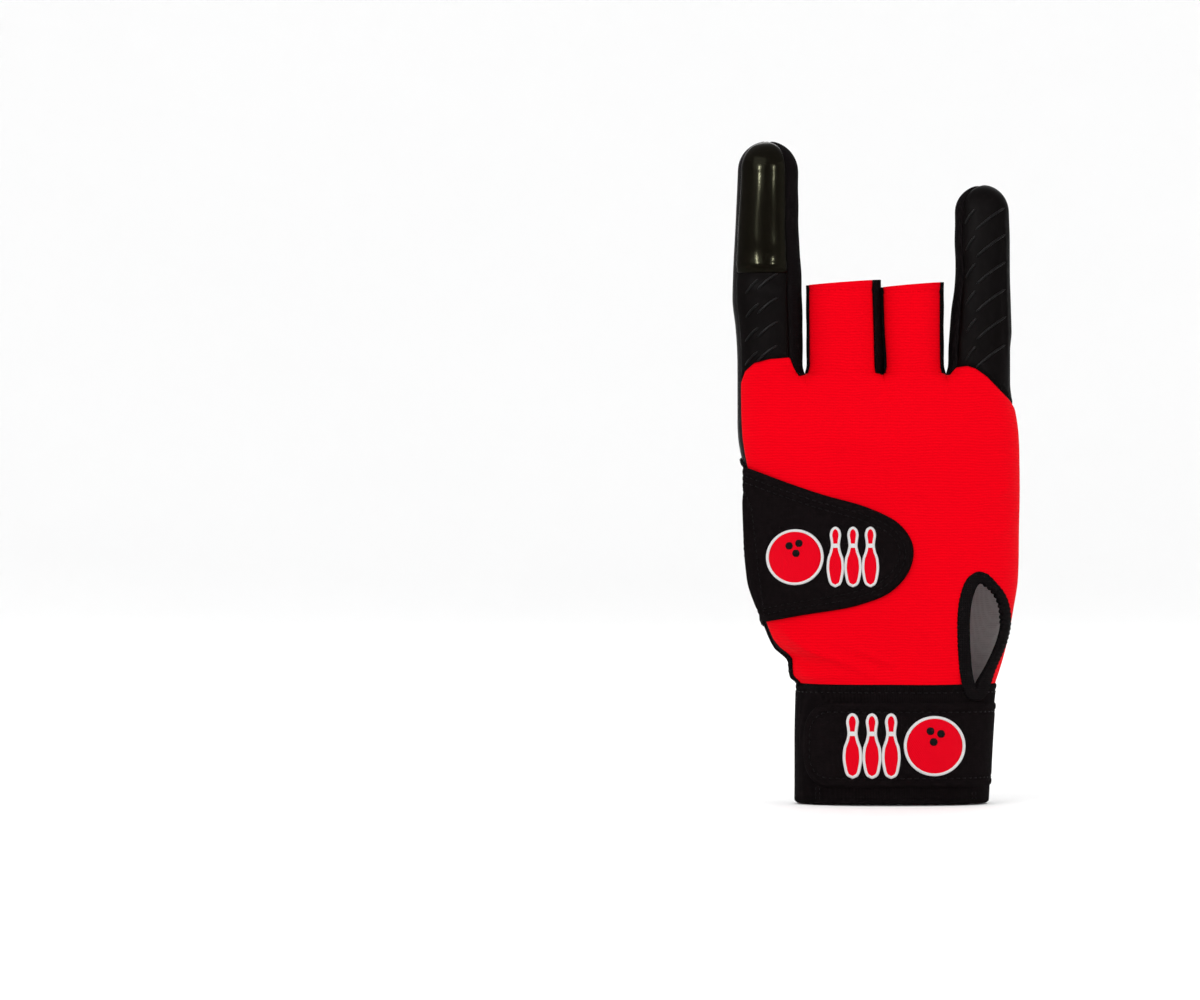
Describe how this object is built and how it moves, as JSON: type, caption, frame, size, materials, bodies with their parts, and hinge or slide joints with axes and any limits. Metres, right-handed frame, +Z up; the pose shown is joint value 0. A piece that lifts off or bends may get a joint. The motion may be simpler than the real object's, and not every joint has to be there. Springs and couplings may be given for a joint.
{
  "type": "bowling glove",
  "caption": "Right-hand bowling glove with covered index and little fingers, half sleeves, thumb flap and wrist strap, in its worn form.",
  "frame": {"origin": "middle of the wrist opening, on the lower rim of the wrist band", "axes": "+Z up along the fingers, -Y out of the back of the hand, +X towards the little finger"},
  "size_m": [0.0922, 0.0446, 0.2125],
  "materials": {
    "knit_back": "ribbed stretch knit, saturated red, matte",
    "palm_leather": "thin black synthetic leather with a fine grain",
    "grip_cloth": "black cloth with raised satin grip bars",
    "tip_gloss": "smooth coated cloth with a wet gloss",
    "gusset_cloth": "matte black stretch cloth",
    "binding_tape": "folded black elastic tape, stitched",
    "loop_cloth": "soft brushed black loop cloth",
    "band_elastic": "soft black laminated band"
  },
  "bodies": {
    "root": {"back_panel": "knit_back", "palm_panel": "palm_leather", "index_stall": "grip_cloth", "index_tip": "tip_gloss", "little_stall": "grip_cloth", "fourchette_index_middle": "gusset_cloth", "fourchette_middle_ring": "gusset_cloth", "fourchette_ring_little": "gusset_cloth", "thumb_binding": "binding_tape", "keyhole_binding": "binding_tape", "thumb_flap": "loop_cloth", "wrist_band": "band_elastic", "wrist_strap": "loop_cloth"}
  },
  "joints": []
}
